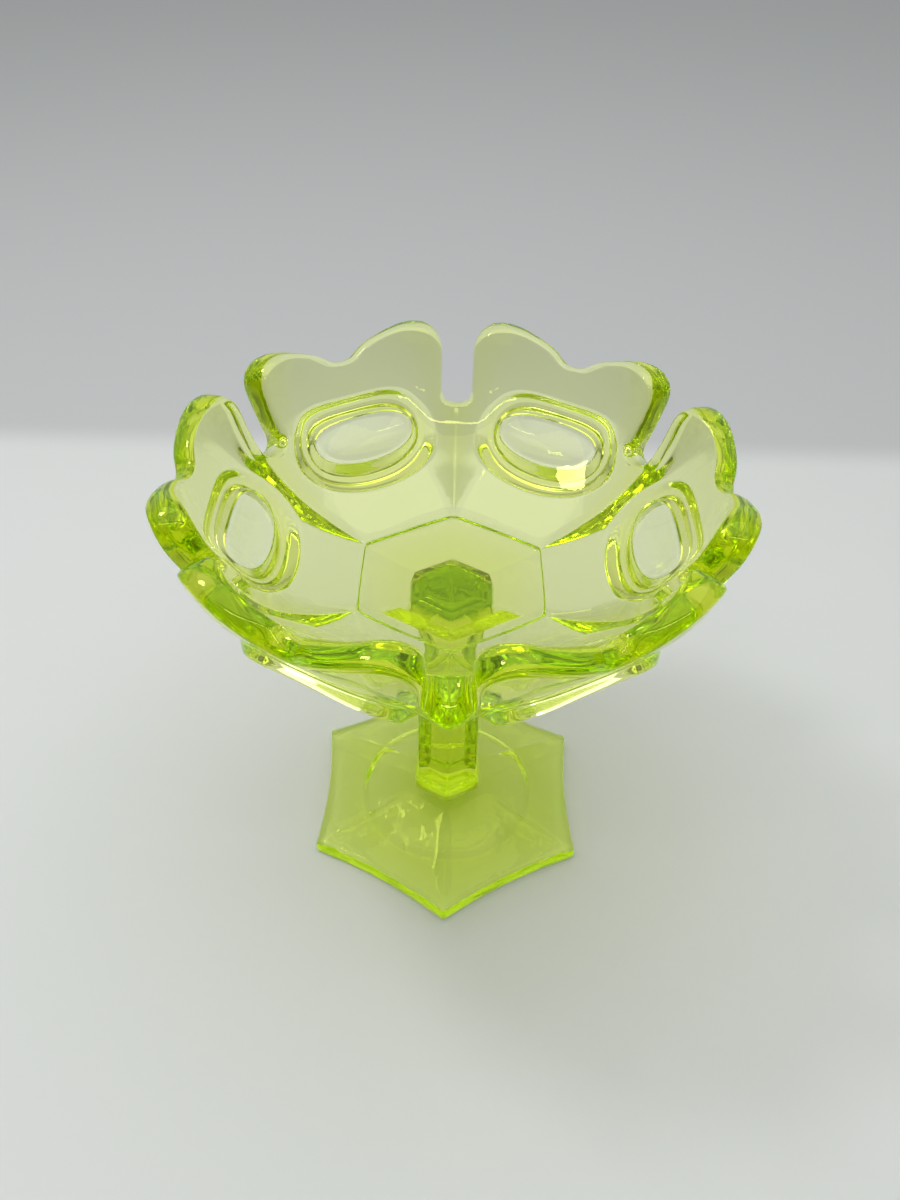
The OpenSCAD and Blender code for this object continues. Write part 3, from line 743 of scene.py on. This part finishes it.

# %% [markdown]
# ## The floor
# A plain pale floor. Behind the dish it is painted a shade darker, along a soft line: painted
# shade that stands in for the shade on a paper sweep where it starts to rise.

# %% The floor
FLOOR_SIZE, FLOOR_DROP = 8.0, 0.05 * MM
SWEEP_Y, SWEEP_SOFT = 0.232, 0.03
PAPER_DULL, PAPER_PALE = (0.66, 0.68, 0.66, 1), (0.70, 0.71, 0.70, 1)
# Painted shade: the darker tone given to the floor behind the dish, in place of a rising sweep in
# shade.
PAINTED_SHADE_BEHIND = (0.52, 0.53, 0.53, 1)
floor_mesh = bpy.data.meshes.new("floor")
half = FLOOR_SIZE / 2
floor_corners = ((-half, -half), (half, -half), (half, half), (-half, half))
floor_mesh.from_pydata([(x, y, -FLOOR_DROP) for x, y in floor_corners], [], [(0, 1, 2, 3)])
floor = bpy.data.objects.new("floor", floor_mesh)
bpy.context.scene.collection.objects.link(floor)
floor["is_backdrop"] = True


def paper():
    """Matt paper with a faint grain, and painted shade behind the dish where a sweep would rise."""
    s = Shader("paper")
    here = s.node("ShaderNodeTexCoord", output="Object")
    y = s.node("ShaderNodeSeparateXYZ", inputs={0: here}, output="Y")
    back = s.node("ShaderNodeMapRange", {"interpolation_type": "SMOOTHSTEP"},
                  {"Value": y, "From Min": SWEEP_Y - SWEEP_SOFT / 2,
                   "From Max": SWEEP_Y + SWEEP_SOFT / 2})
    grain = s.node("ShaderNodeTexNoise", inputs={"Vector": here, "Scale": 6.0, "Detail": 2.0})
    near = s.node("ShaderNodeMix", {"data_type": "RGBA"},
                  {0: grain, 6: PAPER_DULL, 7: PAPER_PALE}, 2)
    tone = s.node("ShaderNodeMix", {"data_type": "RGBA"}, {0: back, 6: near, 7: PAINTED_SHADE_BEHIND}, 2)
    surface = s.node("ShaderNodeBsdfPrincipled", inputs={"Base Color": tone, "Roughness": 0.7})
    s.node("ShaderNodeOutputMaterial", inputs={"Surface": surface})
    return s.material


floor_mesh.materials.append(paper())

# %% [markdown]
# ## Light and camera
# Soft light comes from a wide panel overhead. A small lamp on the left casts a faint shadow
# to the right, and a thin strip stands in front. The surround is pale above and behind the
# dish and dark in front and below, so that the edges of the glass have something dark to bend.


# %% Lights
def panel_light(name, place, aim, size, power, colour=(1, 1, 1)):
    data = bpy.data.lights.new(name, "AREA")
    data.shape, data.size, data.size_y = "RECTANGLE", size[0], size[1]
    data.energy, data.color = power, colour
    light = bpy.data.objects.new(name, data)
    light.location = place
    light.rotation_euler = (Vector(aim) - Vector(place)).to_track_quat("-Z", "Y").to_euler()
    bpy.context.scene.collection.objects.link(light)
    return light


panel_light("overhead", (0, 0.1, 1.1), (0, 0, 0.05), (1.3, 1.0), 5.2)
panel_light("lamp", (-0.42, 0.12, 0.9), (0, 0, 0.05), (0.16, 0.16), 1.5)
panel_light("strip", (0, -0.35, 0.75), (0, 0, 0.1), (0.9, 0.02), 0.6)

SKY_AIM = (0, 0.45, 0.75)
SKY_STOPS = ((0.0, (0.10, 0.10, 0.10, 1)), (0.55, (0.78, 0.80, 0.80, 1)))
SKY_STRENGTH = 0.76
world = bpy.data.worlds.new("surround")
world.use_nodes = True
sky = world.node_tree
new, link = sky.nodes.new, sky.links.new
way, ramp, amount = new("ShaderNodeTexCoord"), new("ShaderNodeValToRGB"), new("ShaderNodeVectorMath")
amount.operation = "DOT_PRODUCT"
amount.inputs[1].default_value = SKY_AIM
link(way.outputs["Generated"], amount.inputs[0])
link(amount.outputs["Value"], ramp.inputs["Fac"])
for element, (place, colour) in zip(ramp.color_ramp.elements, SKY_STOPS):
    element.position, element.color = place, colour
background = sky.nodes["Background"]
link(ramp.outputs["Color"], background.inputs["Color"])
background.inputs["Strength"].default_value = SKY_STRENGTH
scene = bpy.context.scene
scene.world = world

# %% The camera
CAMERA_PLACE = Vector((0, -0.2346, 0.3058))
CAMERA_DOWN, CAMERA_YAW, CAMERA_ROLL = 0.729, -0.002, 0.024
LENS_MM, SENSOR_MM = 30.73, 36
ahead = Vector((math.sin(CAMERA_YAW) * math.cos(CAMERA_DOWN),
                math.cos(CAMERA_YAW) * math.cos(CAMERA_DOWN), -math.sin(CAMERA_DOWN)))
level_right = Vector((math.cos(CAMERA_YAW), -math.sin(CAMERA_YAW), 0))
level_up = level_right.cross(ahead)
right = math.cos(CAMERA_ROLL) * level_right + math.sin(CAMERA_ROLL) * level_up
up = -math.sin(CAMERA_ROLL) * level_right + math.cos(CAMERA_ROLL) * level_up
camera_data = bpy.data.cameras.new("camera")
camera_data.lens, camera_data.sensor_width = LENS_MM, SENSOR_MM
camera_data.clip_start = 0.01
camera = bpy.data.objects.new("camera", camera_data)
turned = Matrix((right, up, -ahead)).transposed().to_4x4()
camera.matrix_world = Matrix.Translation(CAMERA_PLACE) @ turned
scene.collection.objects.link(camera)
scene.camera = camera

# %% [markdown]
# Glass needs long light paths, because a ray may pass through many skins before it leaves.

# %% Light paths
scene.cycles.max_bounces = 24
scene.cycles.transmission_bounces = 24
scene.cycles.glossy_bounces = 8
scene.cycles.use_denoising = True
scene.cycles.sample_clamp_indirect = 6.0
scene.view_settings.view_transform = "Standard"

# %% Compare the sizes and finish
visual_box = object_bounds()
for name, (a, b) in (("CAD", cad_box), ("visual", visual_box)):
    print(name, "box, mm:", [round((b[i] - a[i]) / MM, 2) for i in range(3)])
